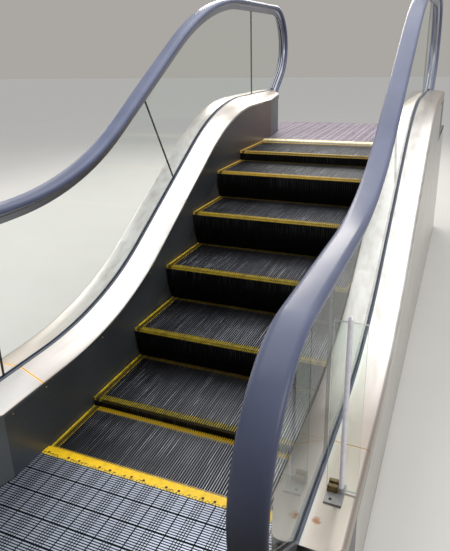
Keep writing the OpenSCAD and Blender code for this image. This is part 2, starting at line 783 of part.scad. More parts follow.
post_d = 14;
post_u = 192;
post_above = 22;
jaw = [28, 12, 22];
module barrier_post() {
    post_y = barrier_y - post_d / 2 - seat;
    post_l = clip_foot[2] + barrier_h + post_above;
    tip = post_d / 2;
    color("silver") run() on_side(1) {
        translate([barrier_in + 3, barrier_y - 54, clip_z]) cube(clip_foot);
        for (y = [barrier_y - seat - jaw[1], barrier_y + barrier_t + seat])
            translate([barrier_in + 5, y, clip_z]) cube([jaw[0], jaw[1], jaw[2]]);
        translate([post_u, post_y, clip_z]) cylinder(d = post_d, h = post_l - tip, $fn = 64);
        translate([post_u, post_y, clip_z + post_l - tip - 0.01])
            cylinder(d1 = post_d, d2 = post_d / 2, h = tip, $fn = 64);
    }
}

bottom_pan();
lower_landing_frame();
upper_landing_box();
side_housings();
end_panels();
cladding(-1);  // left_cladding
cladding(1);  // right_cladding
step_tracks();
step_rollers();
for (k = [1 : step_count]) step(k);
yellow_step_borders();
comb(false);  // lower_comb
comb(true);  // upper_comb
comb_plate(false);  // lower_comb_plate
comb_plate(true);  // upper_comb_plate
floor_plate(false);  // lower_floor_plate
floor_plate(true);  // upper_floor_plate
skirt(-1);  // left_skirt
skirt(1);  // right_skirt
inner_deck(-1);  // left_inner_deck
inner_deck(1);  // right_inner_deck
outer_deck(-1);  // left_outer_deck
outer_deck(1);  // right_outer_deck
newel_base(-1, false);  // lower_left_newel_base
newel_base(1, false);  // lower_right_newel_base
newel_base(-1, true);  // upper_left_newel_base
newel_base(1, true);  // upper_right_newel_base
glass_channels();
glass_gaskets();
glass_panels(-1);  // left_glass_panels
glass_panels(1);  // right_glass_panels
handrail_guides();
handrail(-1);  // left_handrail
handrail(1);  // right_handrail
handrail_inlets();
barrier_plate();
barrier_post();
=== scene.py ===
import math

import bmesh
import bpy
from mathutils import Matrix, Vector
from mathutils.bvhtree import BVHTree


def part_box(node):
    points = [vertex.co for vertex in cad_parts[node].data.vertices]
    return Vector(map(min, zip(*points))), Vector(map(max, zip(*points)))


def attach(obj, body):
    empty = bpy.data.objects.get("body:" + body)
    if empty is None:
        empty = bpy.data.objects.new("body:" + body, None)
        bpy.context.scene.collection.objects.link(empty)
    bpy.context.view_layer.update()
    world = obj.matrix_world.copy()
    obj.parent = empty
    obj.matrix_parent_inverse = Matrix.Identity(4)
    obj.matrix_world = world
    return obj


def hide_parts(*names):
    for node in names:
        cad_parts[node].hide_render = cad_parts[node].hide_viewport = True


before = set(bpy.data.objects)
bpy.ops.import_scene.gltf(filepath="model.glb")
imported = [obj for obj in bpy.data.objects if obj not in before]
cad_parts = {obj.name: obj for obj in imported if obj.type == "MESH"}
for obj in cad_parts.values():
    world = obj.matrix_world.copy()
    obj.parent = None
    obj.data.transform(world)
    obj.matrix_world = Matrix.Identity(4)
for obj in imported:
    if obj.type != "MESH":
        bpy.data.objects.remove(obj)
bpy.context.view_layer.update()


# Bottom pan, landing frames and the closed housings beside the steps.
# Folded and welded plate in dark grey paint, dusty where people's shoes bring dirt in.
# The pan lies on the ground, and everything else is bolted up from it.


class Signal:
    """A value or colour inside a finish, so that its maths reads as a plain expression."""

    def __init__(self, finish, socket):
        self.finish, self.socket = finish, socket

    def maths(self, operation, *values):
        return self.finish.node("Math", {"operation": operation}, dict(enumerate(values)))

    def __add__(self, other):
        return self.maths("ADD", self, other)

    def __sub__(self, other):
        return self.maths("SUBTRACT", self, other)

    def __rsub__(self, other):
        return self.maths("SUBTRACT", other, self)

    def __mul__(self, other):
        return self.maths("MULTIPLY", self, other)

    def __gt__(self, other):
        return self.maths("GREATER_THAN", self, other)

    def __lt__(self, other):
        return self.maths("LESS_THAN", self, other)

    def __abs__(self):
        return self.maths("ABSOLUTE", self)

    __radd__ = __add__
    __rmul__ = __mul__


class Finish:
    """A procedural surface: one Principled shader and what feeds it."""

    def __init__(self, name, **flat):
        self.material = bpy.data.materials.new(name)
        self.material.use_nodes = True
        self.tree = self.material.node_tree
        self.shader = self.tree.nodes["Principled BSDF"]
        self.feed(self.shader, {k.replace("_", " ").title(): v for k, v in flat.items()})

    def feed(self, made, sockets):
        for name, value in sockets.items():
            if isinstance(name, str):
                name = name.replace("Ior", "IOR")
            if isinstance(value, Signal):
                self.tree.links.new(value.socket, made.inputs[name])
            elif isinstance(value, tuple) and len(value) == 3 and made.inputs[name].type == "RGBA":
                made.inputs[name].default_value = (*value, 1)
            else:
                made.inputs[name].default_value = value

    def node(self, kind, settings=None, sockets=None, output=0):
        made = self.tree.nodes.new("ShaderNode" + kind)
        for name, value in (settings or {}).items():
            setattr(made, name, value)
        self.feed(made, sockets or {})
        return Signal(self, made.outputs[output])

    def axis(self, name):
        """One of the object coordinates, in metres."""
        return self.node("SeparateXYZ", {}, {"Vector": self.node("TexCoord", output="Object")}, name)

    def grain(self, stretch, detail=3.0):
        """Noise with that many cycles a metre along X, Y and Z."""
        at = self.node("Mapping", {}, {"Vector": self.node("TexCoord", output="Object"), "Scale": stretch})
        return self.node("TexNoise", {}, {"Vector": at, "Scale": 1.0, "Detail": detail})

    def levels(self, value, low, high):
        """0 below low and 1 above high."""
        return self.node(
            "MapRange", {}, {"Value": value, "From Min": low, "From Max": high, "To Min": 0.0, "To Max": 1.0}
        )

    def blend(self, factor, first, second):
        """The colour first where factor is 0 and second where it is 1."""
        return self.node("Mix", {"data_type": "RGBA"}, {0: factor, 6: first, 7: second}, 2)

    def bump(self, height, strength, distance):
        return self.node("Bump", {}, {"Height": height, "Strength": strength, "Distance": distance})

    def wear(self, **varying):
        self.feed(self.shader, {k.replace("_", " ").title(): v for k, v in varying.items()})
        return self


def clothe(finish, *names):
    """Gives CAD nodes this finish."""
    for name in names:
        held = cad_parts[name].data.materials
        held.clear()
        held.append(finish.material)


def frame_paint():
    paint = Finish("frame_paint", roughness=0.5, metallic=0.0)
    dust = paint.levels(paint.grain((5, 5, 5), 6), 0.42, 0.72)
    orange_peel = paint.grain((260, 260, 260))
    return paint.wear(
        base_color=paint.blend(dust * 0.5, (0.03, 0.032, 0.035), (0.11, 0.105, 0.095)),
        roughness=0.42 + 0.3 * dust,
        normal=paint.bump(orange_peel, 0.25, 0.0004),
    )


clothe(
    frame_paint(),
    "bottom_pan",
    "lower_landing_frame",
    "upper_landing_box",
    "side_housings",
    "step_tracks",
)


# Outer cladding and end sheets.
# Brushed stainless sheet, folded back at the open joints between panels and hung on the housing.
# The brushing runs along the escalator.


def brushing(steel):
    """The fine lines along the run, the cloudiness and the hand smears of a stainless sheet."""
    lines = steel.grain((900, 6, 240), 4)
    cloud = steel.levels(steel.grain((3.1, 2.3, 3.7), 5), 0.35, 0.75)
    smear = steel.levels(steel.grain((17, 6, 14), 3), 0.5, 0.8)
    return lines, cloud, smear


def brushed_steel(name, colour, dull, roughness):
    """Stainless sheet brushed along the run."""
    steel = Finish(name, metallic=1.0)
    brush, cloud, smear = brushing(steel)
    return steel.wear(
        base_color=steel.blend(cloud * 0.6 + brush * 0.25, colour, dull),
        roughness=roughness + 0.12 * brush + 0.07 * smear,
        normal=steel.bump(brush, 0.12, 0.0002),
    )


clothe(
    brushed_steel("cladding_steel", (0.62, 0.61, 0.58), (0.5, 0.49, 0.46), 0.27),
    "left_cladding",
    "right_cladding",
    "end_panels",
)


# Step rollers.
# Black tyre rubber on pressed hubs, seen only through the gaps beside and under the steps.
# They run on the painted tracks.


def tyre_rubber():
    tyre = Finish("tyre_rubber", roughness=0.6)
    dust = tyre.levels(tyre.grain((30, 30, 30), 4), 0.4, 0.7)
    return tyre.wear(base_color=tyre.blend(dust, (0.012, 0.012, 0.012), (0.05, 0.047, 0.043)))


clothe(tyre_rubber(), "step_rollers")


# Steps: cast aluminium treads and curved risers, cleated along the run and painted black.
# Shoes wear the cleat tops to bare metal in long scratches, and the back edge of each
# tread is painted yellow. It is bright on the first step; on the others it is darkened with
# painted shade. Near each tread's back the cleat tops are kept dark with painted shade too,
# and on the lowest steps they are lit bright with a painted highlight.

TREAD_LENGTH = 0.400
BACK_BAND = 0.026
BAND_DEPTH = 0.013
TOP_SKIN = 0.0006
RISER_SKIN = 0.001
UNDER_NOSE = (0.1, 0.02)
BUSY_SIDE = (-0.35, 0.45)
SHADE_AND_WEAR_FROM_BACK = (0.06, 0.24)
LOW_STEPS = (-1.25, -0.4)


def step_finish(name, low, high, unshaded_band):
    """The paint of one step between two corners. Its tread starts at low.y, at the height high.z."""
    paint = Finish(name, specular_ior_level=0.2)
    y, z = paint.axis("Y"), paint.axis("Z")
    back = low.y + TREAD_LENGTH
    land = z > high.z - TOP_SKIN
    off_y, off_z = y - back, z - high.z
    riser_land = (off_y * off_y + off_z * off_z > (TREAD_LENGTH - RISER_SKIN) ** 2) * (1 - land)
    scratch = paint.levels(paint.grain((420, 4.5, 1), 5), 0.59, 0.66)
    walked = paint.levels(paint.grain((3.5, 5.5, 2), 3), 0.36, 0.62)
    busy_side = paint.levels(paint.axis("X"), *BUSY_SIDE)
    # Wear and painted shade: except on the first step, the cleat tops are kept dark towards the tread's back
    # edge, under the next step's nose.
    front = 1.0 if unshaded_band > 0.5 else 0.15 + 0.85 * paint.levels(back - y, *SHADE_AND_WEAR_FROM_BACK)
    used = 0.15 + 0.5 * walked + 0.5 * busy_side
    rubbed = paint.levels(paint.grain((150, 3, 2), 4), 0.4, 0.6) * used * land
    scuff = scratch * (0.25 + 0.5 * walked + 0.35 * busy_side) * land * front
    lint = paint.levels(paint.grain((70, 40, 60), 5), 0.5, 0.72)
    band = (y > back - BACK_BAND) * (y < back) * (z > high.z - BAND_DEPTH)
    under_nose = paint.levels(z, high.z - UNDER_NOSE[0], high.z - UNDER_NOSE[1])
    feather = paint.levels(paint.grain((260, 1.5, 9), 4), 0.48, 0.7) * under_nose * riser_land * walked
    patchy = paint.levels(paint.grain((60, 25, 30), 4), 0.42, 0.66)
    # Painted shade: on every step but the first, the yellow back band is darkened as if in the shade of the
    # next step's nose.
    band_shade = (patchy * 0.1 + 0.9) * (1 - unshaded_band)
    groove = paint.blend(lint * 0.3, (0.002, 0.002, 0.0024), (0.012, 0.0116, 0.0116))
    bright_land = land * (0.12 + 0.3 * busy_side) * front
    worn = paint.blend(bright_land + feather * 0.4 + rubbed * front * 0.7, groove, (0.22, 0.225, 0.265))
    # Painted highlight: the cleat tops on the right are lit up to bright metal, strongest on the lowest steps
    # and faint further up the run.
    low_steps_glint = 1 - 0.85 * paint.levels(y, *LOW_STEPS)
    painted_glint = 0.25 * land * busy_side * front * low_steps_glint
    metal = paint.blend(scuff * 0.85 + painted_glint, worn, (0.78, 0.8, 0.86))
    yellow = paint.blend(band_shade, (0.62, 0.41, 0.015), (0.04, 0.028, 0.01))
    return paint.wear(
        base_color=paint.blend(band, metal, yellow),
        metallic=0.15 * land + 0.5 * scuff,
        roughness=0.48 - 0.14 * scuff + 0.1 * lint,
        normal=paint.bump(paint.grain((180, 60, 180), 3), 0.2, 0.0003),
    )


STEPS = [f"step_{number}" for number in range(1, 9)]
for step in STEPS:
    unshaded_band = 0.8 if step == "step_1" else 0.03
    clothe(step_finish(f"{step}_paint", *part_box(step), unshaded_band), step)


# Yellow borders of the steps and the two combs.
# Moulded borders and cast combs in safety yellow, cleated or toothed at the treads' pitch.
# The borders' grooves are darkened with dirt and painted shade. Dirt fills the middle of each side strip,
# and lies along the outer edge of the lower comb.

SIDE_STRIP = 0.46
SIDE_STRIP_DIRT = (0.4725, 0.4868)
NOSE_STRIP = 0.034
CLEAT_TOP = 0.0022
STEP_SLACK = 0.001
COMB_DIRT = (0.0072, 0.0152)


def safety_yellow(name, colour, dirt, amount, steps=(), edge=None):
    """Scuffed yellow, darkened with dirt and painted shade between the named steps' cleats, and with dirt
    along an edge at that Y.
    """
    yellow = Finish(name, metallic=0.0)
    grime = yellow.levels(yellow.grain((45, 30, 45), 6), 0.42, 0.7) * amount
    specks = yellow.levels(yellow.grain((230, 160, 200), 4), 0.62, 0.74) * amount
    colour = yellow.blend(grime + specks, colour, dirt)
    if edge is not None:
        y = yellow.axis("Y")
        crumbs = yellow.levels(yellow.grain((90, 120, 90), 4), 0.5, 0.57) * (y < edge + COMB_DIRT[1])
        colour = yellow.blend((y > edge) * (y < edge + COMB_DIRT[0]) * 0.85, colour, (0.14, 0.075, 0.01))
        colour = yellow.blend(crumbs * 0.8, colour, (0.06, 0.035, 0.008))
    if steps:
        side, y, z = abs(yellow.axis("X")), yellow.axis("Y"), yellow.axis("Z")
        proud = front = 0.0
        for low, high in map(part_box, steps):
            past_nose = y > low.y - STEP_SLACK
            on_tread = past_nose * (y < low.y + TREAD_LENGTH + STEP_SLACK)
            proud = proud + on_tread * (z > high.z - CLEAT_TOP)
            front = front + past_nose * (y < low.y + NOSE_STRIP)
        # Painted light: the borders turn warmer and brighter up the run. Their nose strips are darkened with
        # painted shade, most on the lowest steps.
        painted_warm_light = yellow.levels(y, -0.6, 0.9)
        colour = yellow.blend(painted_warm_light * 0.9, colour, (1.0, 0.66, 0.13))
        colour = yellow.blend(front * (0.6 - 0.4 * painted_warm_light), colour, (0.1, 0.08, 0.006))
        walked_off = (side > SIDE_STRIP_DIRT[0]) * (side < SIDE_STRIP_DIRT[1]) * 0.9
        colour = yellow.blend(walked_off, colour, (0.06, 0.045, 0.012))
        lines = (side > SIDE_STRIP_DIRT[1]) + (side < SIDE_STRIP_DIRT[0]) * (side > SIDE_STRIP)
        # Dirt and painted shade: between the cleat tops the border is painted dark, except along the side
        # strips' lines.
        colour = yellow.blend(proud + lines * 0.9, (0.03, 0.022, 0.006), colour)
    return yellow.wear(
        base_color=colour,
        roughness=0.36 + 0.3 * grime,
        normal=yellow.bump(specks, 0.3, 0.0004),
    )


border_yellow = safety_yellow("border_yellow", (0.7, 0.51, 0.025), (0.13, 0.1, 0.015), 0.8, STEPS)
clothe(border_yellow, "yellow_step_borders")
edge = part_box("lower_comb")[0].y
lower_yellow = safety_yellow("lower_comb_yellow", (0.95, 0.6, 0.008), (0.42, 0.25, 0.02), 0.3, edge=edge)
clothe(lower_yellow, "lower_comb")
# Painted light: the upper comb is the same yellow casting, painted much paler as if washed out by light.
upper_yellow = safety_yellow("upper_comb_yellow", (0.95, 0.84, 0.5), (0.6, 0.46, 0.16), 0.3)
clothe(upper_yellow, "upper_comb")


# Screws and outer ribs of the combs.
# Each of the seven parts of a comb is held by two low screws, dark with dirt.
# Little ribs along its outer edge carry on those of the floor, with the yellow walked off.

COMB_CUTS = (-0.5027, -0.355, -0.215, -0.075, 0.075, 0.215, 0.355, 0.5027)
COMB_SCREW_SPREAD = 0.047
COMB_SCREW_INSET = 0.0155
COMB_SCREW = (0.0056, 0.0007)
EDGE_RIB = Vector((0.0088, 0.0052, 0.0007))
EDGE_RIB_PITCH = 0.0127
EDGE_RIB_INSET = 0.0008
EDGE_RIB_START = 0.002
SUNK = 0.0001


def add_piece(name, shape, finish):
    """Turns a bmesh into a piece of the escalator."""
    mesh = bpy.data.meshes.new(name)
    shape.to_mesh(mesh)
    shape.free()
    mesh.materials.append(finish.material)
    piece = bpy.data.objects.new(name, mesh)
    bpy.context.scene.collection.objects.link(piece)
    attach(piece, "root")
    return piece


def screw_heads(name, finish, slot, seats, radius, height):
    """Low screw heads with a driver recess, each at a place and facing outward."""
    heads = bmesh.new()
    for place, outward in seats:
        turn = Vector((0, 0, 1)).rotation_difference(Vector(outward)).to_matrix().to_4x4()
        made = bmesh.ops.create_cone(
            heads,
            cap_ends=True,
            segments=14,
            radius1=radius,
            radius2=radius * 0.86,
            depth=height,
            matrix=Matrix.Translation(place) @ turn @ Matrix.Translation((0, 0, height / 2)),
        )
        faces = {face for vert in made["verts"] for face in vert.link_faces}
        top = max(faces, key=lambda face: face.calc_center_median().dot(Vector(outward)))
        bmesh.ops.inset_region(heads, faces=[top], thickness=radius * 0.3, depth=0)
        bmesh.ops.inset_region(heads, faces=[top], thickness=radius * 0.12, depth=-height * 0.8)
    bmesh.ops.recalc_face_normals(heads, faces=heads.faces)
    add_piece(name, heads, finish)


def block(shape, low, high):
    """A box between two corners."""
    low, high = Vector(low), Vector(high)
    size = Matrix.Diagonal((*(high - low), 1))
    bmesh.ops.create_cube(shape, size=1, matrix=Matrix.Translation((low + high) / 2) @ size)


def screw_dirt():
    dirt = Finish("screw_dirt", metallic=0.4, roughness=0.5)
    rust = dirt.levels(dirt.grain((300, 300, 300), 4), 0.45, 0.6)
    return dirt.wear(base_color=dirt.blend(rust, (0.03, 0.016, 0.008), (0.09, 0.035, 0.012)))


screw_brown = screw_dirt()
rubbed_yellow = safety_yellow("rubbed_yellow", (0.95, 0.72, 0.12), (0.3, 0.2, 0.03), 0.8)
for comb, sign in (("lower_comb", 1), ("upper_comb", -1)):
    low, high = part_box(comb)
    outer = low.y if sign > 0 else high.y
    middles = [(a + b) / 2 for a, b in zip(COMB_CUTS, COMB_CUTS[1:])]
    screw_y = outer + sign * COMB_SCREW_INSET
    seats = [
        ((middle + side * COMB_SCREW_SPREAD, screw_y, high.z - SUNK), (0, 0, 1))
        for middle in middles
        for side in (-1, 1)
    ]
    screw_heads(f"{comb}_screws", screw_brown, "safety_yellow", seats, *COMB_SCREW)
    ribs = bmesh.new()
    for number in range(int((high.x - low.x) / EDGE_RIB_PITCH)):
        x = low.x + EDGE_RIB_START + number * EDGE_RIB_PITCH
        ends = sorted(outer + sign * inset for inset in (EDGE_RIB_INSET, EDGE_RIB_INSET + EDGE_RIB.y))
        block(ribs, (x, ends[0], high.z - SUNK), (x + EDGE_RIB.x, ends[1], high.z + EDGE_RIB.z))
    bmesh.ops.recalc_face_normals(ribs, faces=ribs.faces)
    add_piece(f"{comb}_edge_ribs", ribs, rubbed_yellow)


# Comb plates and floor plates: extruded aluminium, ribbed for grip, and black between the ribs with dirt and
# painted shade.
# The ribs lie across the run in cells of 105 by 92 mm. A middle strip of each cell is
# cut by fine grooves into little squares. Wide dark grooves part the cells.

CELL = Vector((0.1047, 0.092))
CELL_GROOVE = 0.0046
RIBS_IN_CELL = 9
RIB_PITCH = 0.0098
RIB_DEPTH = 0.0050
SQUARE = 0.0076
FINE_GROOVE = 0.003
RIB_HEIGHT = 0.0008
RIB_SUNK = 0.0002
SHORTEST_RIB = 0.003
PLATE_MARGIN = 0.001
LINE_X = -0.065
LOWER_LINE_Y = -1.5303
UPPER_LINE_INSET = 0.002
BASE_EDGE = 0.5
BASE_CLEAR = 0.003
BASE_START = 0.003
BASE_TAPER = 0.038
BASE_TAPER_END = 0.058
BASE_ROUND = 0.070
BASE_ROUND_SIDE = 0.110
FREE_FLOOR = 1.0


def base_side(v, length):
    """How far beside the step ends a newel base starts, v past the skirts' ends. It tapers to a round end."""
    if v < -BASE_CLEAR or v > length:
        return FREE_FLOOR
    if v > length - BASE_TAPER_END:
        return BASE_ROUND_SIDE - math.sqrt(BASE_ROUND**2 - (v - length + BASE_ROUND) ** 2)
    return BASE_START + BASE_TAPER * v / (length - BASE_TAPER_END)


def rib_spans():
    """Where the ribs of one row of a cell start and end across the cell."""
    middle = 3 * SQUARE + 4 * FINE_GROOVE
    side = (CELL.x - CELL_GROOVE - middle) / 2
    x = CELL_GROOVE / 2
    spans = [(x, x + side)]
    x += side + FINE_GROOVE
    for _ in range(3):
        spans.append((x, x + SQUARE))
        x += SQUARE + FINE_GROOVE
    spans.append((x, x + side))
    return spans


def cells(first, last, line, size):
    """Numbers of the cells between two edges."""
    return range(math.floor((first - line) / size), math.ceil((last - line) / size))


def rib_field(name, plates, base, finish, line_y):
    """Ribs over the named plates, kept off the newel bases, each of which is like base."""
    low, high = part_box(base)
    first, last = (corner.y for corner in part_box("right_skirt"))
    lower = low.y < 0
    end = first if lower else last
    length = end - low.y if lower else high.y - end
    ribs = bmesh.new()
    row_mesh = bpy.data.meshes.new("rib_row")
    for plate in plates:
        low_edge, high_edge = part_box(plate)
        z = high_edge.z - RIB_SUNK
        for row in cells(low_edge.y, high_edge.y, line_y, CELL.y):
            for rib in range(RIBS_IN_CELL):
                ya = line_y + row * CELL.y + CELL_GROOVE / 2 + rib * RIB_PITCH
                yb = ya + RIB_DEPTH
                if ya < low_edge.y + PLATE_MARGIN or yb > high_edge.y - PLATE_MARGIN:
                    continue
                away = [end - y if lower else y - end for y in (ya, yb)]
                reach = BASE_EDGE + min(base_side(v, length + BASE_CLEAR) for v in away) - BASE_CLEAR
                strip = bmesh.new()
                for column in cells(low_edge.x, high_edge.x, LINE_X, CELL.x):
                    cell_x = LINE_X + column * CELL.x
                    for a, b in rib_spans():
                        xa = max(cell_x + a, low_edge.x + PLATE_MARGIN, -reach)
                        xb = min(cell_x + b, high_edge.x - PLATE_MARGIN, reach)
                        if xb - xa >= SHORTEST_RIB:
                            block(strip, (xa, ya, z), (xb, yb, z + RIB_HEIGHT))
                strip.to_mesh(row_mesh)
                strip.free()
                ribs.from_mesh(row_mesh)
    bpy.data.meshes.remove(row_mesh)
    bmesh.ops.recalc_face_normals(ribs, faces=ribs.faces)
    add_piece(name, ribs, finish)


def plate_finish(name, colour, dull, bare, shine=0.2, rough=0.3):
    plate = Finish(name, metallic=bare, specular_ior_level=shine)
    wear = plate.levels(plate.grain((3, 3, 1), 4), 0.4, 0.75)
    scratch = plate.levels(plate.grain((60, 240, 1), 4), 0.5, 0.75)
    return plate.wear(
        base_color=plate.blend(wear * 0.45 + scratch * 0.2, colour, dull),
        roughness=rough + 0.1 * wear + 0.1 * scratch,
        normal=plate.bump(scratch, 0.15, 0.0002),
    )


# Dirt and painted shade: under the low ribs the plates are painted near black, standing in for the shade of
# deep grooves.
clothe(
    plate_finish("groove_dirt_and_shade", (0.004, 0.0045, 0.006), (0.009, 0.01, 0.012), 0.0, 0.05, 0.6),
    "lower_comb_plate",
    "upper_comb_plate",
    "lower_floor_plate",
    "upper_floor_plate",
)
# Painted light: the lower floor's ribs are tinted blue-grey and the upper floor's warm purplish, though both
# are the same aluminium.
rib_metal = plate_finish("rib_metal", (0.53, 0.58, 0.69), (0.26, 0.29, 0.36), 0.75)
rib_field(
    "lower_floor_ribs",
    ("lower_comb_plate", "lower_floor_plate"),
    "lower_right_newel_base",
    rib_metal,
    LOWER_LINE_Y,
)
rib_field(
    "upper_floor_ribs",
    ("upper_comb_plate", "upper_floor_plate"),
    "upper_right_newel_base",
    plate_finish("upper_rib_metal", (0.48, 0.42, 0.52), (0.34, 0.29, 0.36), 0.75),
    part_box("upper_comb_plate")[0].y + UPPER_LINE_INSET,
)


# Skirt panels beside the steps.
# Dark satin steel, rubbed along its foot by shoes and brushes, with small screws near the
# top edge. It leaves a gap of 3 mm to the step ends.

SKIRT_SCREWS = (-1.5498, -1.3668, -0.98, -0.53, -0.08, 0.37, 0.82, 1.22)
SCREW_DROP = 0.014
SKIRT_SCREW = (0.0038, 0.0008)
SKIRT_MIDDLE = 0.002
OVERHEAD = 3.0


def skirt_steel():
    steel = Finish("skirt_steel", metallic=0.55)
    brush = steel.grain((900, 6, 240), 4)
    cloud = steel.levels(steel.grain((4, 3, 5), 5), 0.35, 0.75)
    scuff = steel.levels(steel.grain((4, 7, 160), 4), 0.56, 0.72)
    # Painted reflection: towards the upper end the skirt is tinted warm brown, as if it mirrored warm
    # surroundings.
    painted_warm_light = steel.levels(steel.axis("Y"), 0.3, 1.25)
    base = steel.blend(cloud, (0.068, 0.076, 0.086), (0.094, 0.104, 0.116))
    base = steel.blend(painted_warm_light, base, (0.15, 0.11, 0.095))
    return steel.wear(
        base_color=steel.blend(scuff * 0.25, base, (0.16, 0.17, 0.18)),
        roughness=0.27 + 0.1 * brush + 0.1 * cloud,
        normal=steel.bump(brush, 0.15, 0.0002),
    )


clothe(skirt_steel(), "left_skirt", "right_skirt")
skirt_screw_steel = brushed_steel("skirt_screw_steel", (0.5, 0.42, 0.26), (0.3, 0.25, 0.16), 0.35)
seats = []
for side, node in ((-1, "left_skirt"), (1, "right_skirt")):
    skirt = bmesh.new()
    skirt.from_mesh(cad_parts[node].data)
    surface = BVHTree.FromBMesh(skirt)
    skirt.free()
    inner = min(abs(corner.x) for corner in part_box(node))
    for y in SKIRT_SCREWS:
        over = Vector((side * (inner + SKIRT_MIDDLE), y, OVERHEAD))
        top = surface.ray_cast(over, Vector((0, 0, -1)))[0]
        seats.append(((side * (inner + SUNK), y, top.z - SCREW_DROP), (-side, 0, 0)))
screw_heads("skirt_screws", skirt_screw_steel, "skirt_steel", seats, *SKIRT_SCREW)


# Inner and outer decks and the closed newel bases.
# Bright brushed stainless, folded at the edges, with open joints at the newel bases whose
# edges have yellowed. Below the deck's fold the bases are as dark as the skirts.

DECK_JOINTS = (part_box("lower_right_newel_base")[1].y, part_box("upper_right_newel_base")[0].y)
JOINT_YELLOW = 0.0045
DECK_MIDDLE = 0.1
OUTER_DECK = 0.64
FOLD_DROP = 0.0518
RUST_STAINS = ((0.598, -1.703), (0.652, -1.702))
STAINS_PER_METRE = 70
SAME_POINT = 0.00002
FOLD_ANGLE = 0.6
OPEN_ANGLE = 9


def deck_steel(name, fold=None):
    """Stainless sheet brushed along the run. Under the height of the fold it is dark satin."""
    steel = Finish(name, metallic=1.0)
    brush, cloud, smear = brushing(steel)
    streak = steel.levels(steel.grain((30, 0.9, 30), 5), 0.42, 0.7)
    y = steel.axis("Y")
    at_joint = sum(abs(y - joint) < JOINT_YELLOW for joint in DECK_JOINTS)
    yellowed = at_joint * (0.3 + 0.7 * (steel.axis("X") < 0))
    # Dust and painted shade: towards both ends of the run the sheet is darkened, as if it mirrored duller
    # surroundings there.
    ends_dust_and_shade = steel.levels(abs(y - DECK_MIDDLE), 0.9, 1.5)
    colour = steel.blend(cloud * 0.35 + brush * 0.3, (0.76, 0.75, 0.735), (0.6, 0.58, 0.555))
    dust = (0.36, 0.33, 0.315) if fold is None else (0.34, 0.335, 0.33)
    colour = steel.blend(ends_dust_and_shade * 0.85, colour, dust)
    # Painted reflection: the sheet is tinted warm towards the upper end.
    upper_reflection = steel.levels(y, DECK_MIDDLE, 1.0)
    colour = steel.blend(upper_reflection * 0.6, colour, (0.48, 0.4, 0.34))
    # Painted reflection: at the lower end the outer decks are tinted brown, as if they mirrored a beige wall
    # beside them.
    outer_painted_reflection = ends_dust_and_shade * (abs(steel.axis("X")) > OUTER_DECK) * (y < 0)
    colour = steel.blend(outer_painted_reflection * 0.5, colour, (0.44, 0.35, 0.28))
    colour = steel.blend(streak * 0.55, colour, (0.47, 0.42, 0.375))
    colour = steel.blend(yellowed, colour, (0.75, 0.45, 0.16))
    roughness = 0.27 + 0.1 * brush + 0.03 * smear
    if fold is None:
        return steel.wear(base_color=colour, roughness=roughness)
    for place in RUST_STAINS:
        off_x, off_y = ((steel.axis(axis) - at) * STAINS_PER_METRE for axis, at in zip("XY", place))
        ragged = steel.grain((90, 90, 90), 6) * 2.4
        spot = steel.levels(2.1 - off_x * off_x - off_y * off_y - ragged, 0.0, 0.8)
        colour = steel.blend(spot * 0.85, colour, (0.26, 0.115, 0.05))
    under = steel.axis("Z") < fold
    dark = steel.blend(cloud, (0.12, 0.13, 0.138), (0.18, 0.19, 0.195))
    return steel.wear(
        base_color=steel.blend(under, colour, dark),
        metallic=1 - under * 0.45,
        roughness=roughness + under * 0.1,
    )


def smoothed(node, finish, angle=FOLD_ANGLE):
    """A merged copy of a CAD node, shaded smooth except at its folds, that stands for the node."""
    shape = bmesh.new()
    shape.from_mesh(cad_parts[node].data)
    bmesh.ops.remove_doubles(shape, verts=shape.verts, dist=SAME_POINT)
    for face in shape.faces:
        face.smooth = True
    for edge in shape.edges:
        edge.smooth = edge.calc_face_angle(OPEN_ANGLE) < angle
    piece = add_piece(node + "_smooth", shape, finish)
    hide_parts(node)


decks = deck_steel("deck_steel")
for node in ("left_inner_deck", "right_inner_deck", "left_outer_deck", "right_outer_deck"):
    smoothed(node, decks)
for end in ("lower", "upper"):
    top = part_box(f"{end}_right_newel_base")[1].z
    base_steel = deck_steel(f"{end}_base_steel", top - FOLD_DROP)
    for side in ("left", "right"):
        smoothed(f"{end}_{side}_newel_base", base_steel)


# Glass channels and their gaskets.
# A folded channel along each deck holds the glass. A slate grey rubber strip with a broad
# lip is wedged in on either side of it.


def gasket_rubber(name, colour, ends_dust_and_shade):
    rubber = Finish(name, roughness=0.5)
    dust = rubber.levels(rubber.grain((40, 8, 40), 4), 0.45, 0.75)
    return rubber.wear(base_color=rubber.blend(dust * 0.6, colour, ends_dust_and_shade), roughness=0.42 + 0.2 * dust)


clothe(gasket_rubber("gasket_slate", (0.075, 0.09, 0.13), (0.12, 0.135, 0.17)), "glass_gaskets")
collar_rubber = gasket_rubber("collar_rubber", (0.014, 0.014, 0.016), (0.07, 0.066, 0.06))
clothe(collar_rubber, "handrail_inlets")
clothe(brushed_steel("channel_steel", (0.25, 0.25, 0.25), (0.16, 0.16, 0.16), 0.4), "glass_channels")


# Glass panels, 10 mm toughened glass, with a dark seal in each joint between them.
# Clear with a faint green tint, ground edges, and finger marks under the handrail.
# They stand in the channels and carry the handrail guides.

PANE_X = sum(corner.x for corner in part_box("right_glass_panels")) / 2
SEAL_SIZE = (0.0096, 0.0028)
SEALS = ((-1.458325, 0.380, 0.595, 0), (-0.010525, 0.8477, 0.545, 30), (1.301325, 1.214, 0.595, 0))


